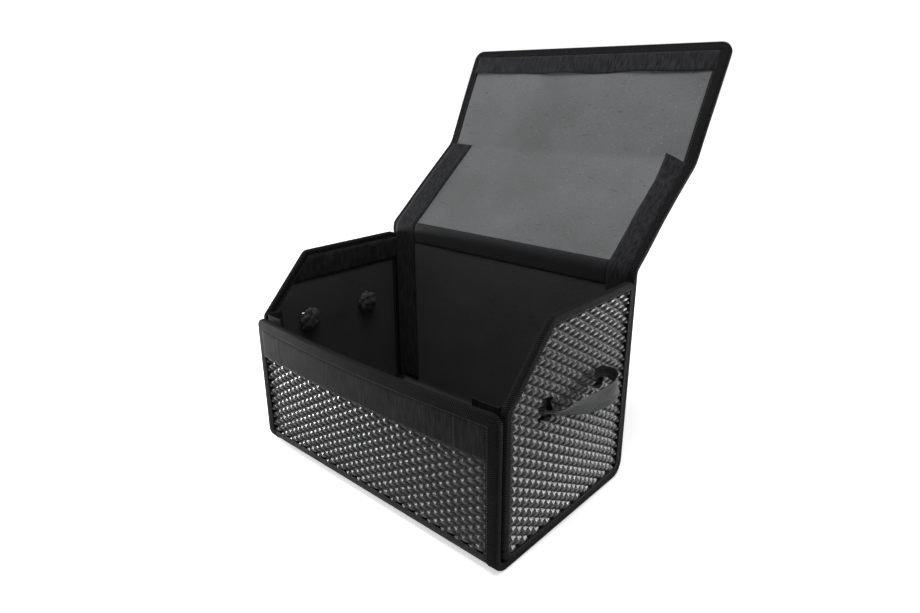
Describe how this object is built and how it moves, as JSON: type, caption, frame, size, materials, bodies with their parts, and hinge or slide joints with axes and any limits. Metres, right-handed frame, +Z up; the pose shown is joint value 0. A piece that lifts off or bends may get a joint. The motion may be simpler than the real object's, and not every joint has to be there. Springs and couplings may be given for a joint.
{
  "type": "car trunk organizer",
  "caption": "Folding car trunk organizer of studded foam mat with taped edges, a hinged lid, slanted side walls, hook-and-loop strips and webbing side handles.",
  "frame": {"origin": "middle of the underside of the base, on the ground plane", "axes": "+X to the box's right seen from the front, +Y from the front wall to the back wall and lid hinge, +Z up"},
  "size_m": [0.5684, 0.5478, 0.632],
  "materials": {
    "studded_mat": "matt foam with raised rhombic studs",
    "smooth_mat": "matt foam, smooth inner face",
    "edge_tape": "woven binding tape",
    "hook_and_loop": "felt-like hook-and-loop strip",
    "webbing": "woven webbing"
  },
  "bodies": {
    "body": {"body_sheet": "studded_mat", "body_edge_tape": "edge_tape", "front_fold_tape": "edge_tape", "rear_fold_tape": "edge_tape", "right_side_wall": "studded_mat", "left_side_wall": "studded_mat", "right_side_tape": "edge_tape", "left_side_tape": "edge_tape", "right_side_loop_strip": "hook_and_loop", "left_side_loop_strip": "hook_and_loop", "right_handle": "webbing", "left_handle": "webbing", "right_front_tab": "hook_and_loop", "left_front_tab": "hook_and_loop", "right_front_loop_strip": "hook_and_loop", "left_front_loop_strip": "hook_and_loop", "right_rear_strip": "hook_and_loop", "left_rear_strip": "hook_and_loop", "outer_loop_strip": "hook_and_loop", "hinge_tape": "edge_tape"},
    "lid_top": {"lid_top_panel": "smooth_mat", "right_lid_top_tape": "edge_tape", "left_lid_top_tape": "edge_tape", "right_lid_strip": "hook_and_loop", "left_lid_strip": "hook_and_loop"},
    "lid_slope": {"lid_slope_panel": "smooth_mat", "right_lid_slope_tape": "edge_tape", "left_lid_slope_tape": "edge_tape"},
    "lid_end": {"lid_end_panel": "smooth_mat", "lid_end_tape": "edge_tape", "lid_hook_strip": "hook_and_loop"}
  },
  "joints": [
    {"name": "lid_hinge", "type": "hinge", "parent": "body", "child": "lid_top", "pos_m": [0, 0.149, 0.326], "axis": [1, 0, 0], "range_deg": [-58.9, 141.1]},
    {"name": "lid_fold", "type": "hinge", "parent": "lid_top", "child": "lid_slope", "pos_m": [0, 0.31333, 0.4586], "axis": [1, 0, 0], "range_deg": [-27.4, 19.6]},
    {"name": "flap_fold", "type": "hinge", "parent": "lid_slope", "child": "lid_end", "pos_m": [0, 0.37176, 0.59171], "axis": [1, 0, 0], "range_deg": [-10, 43]}
  ]
}
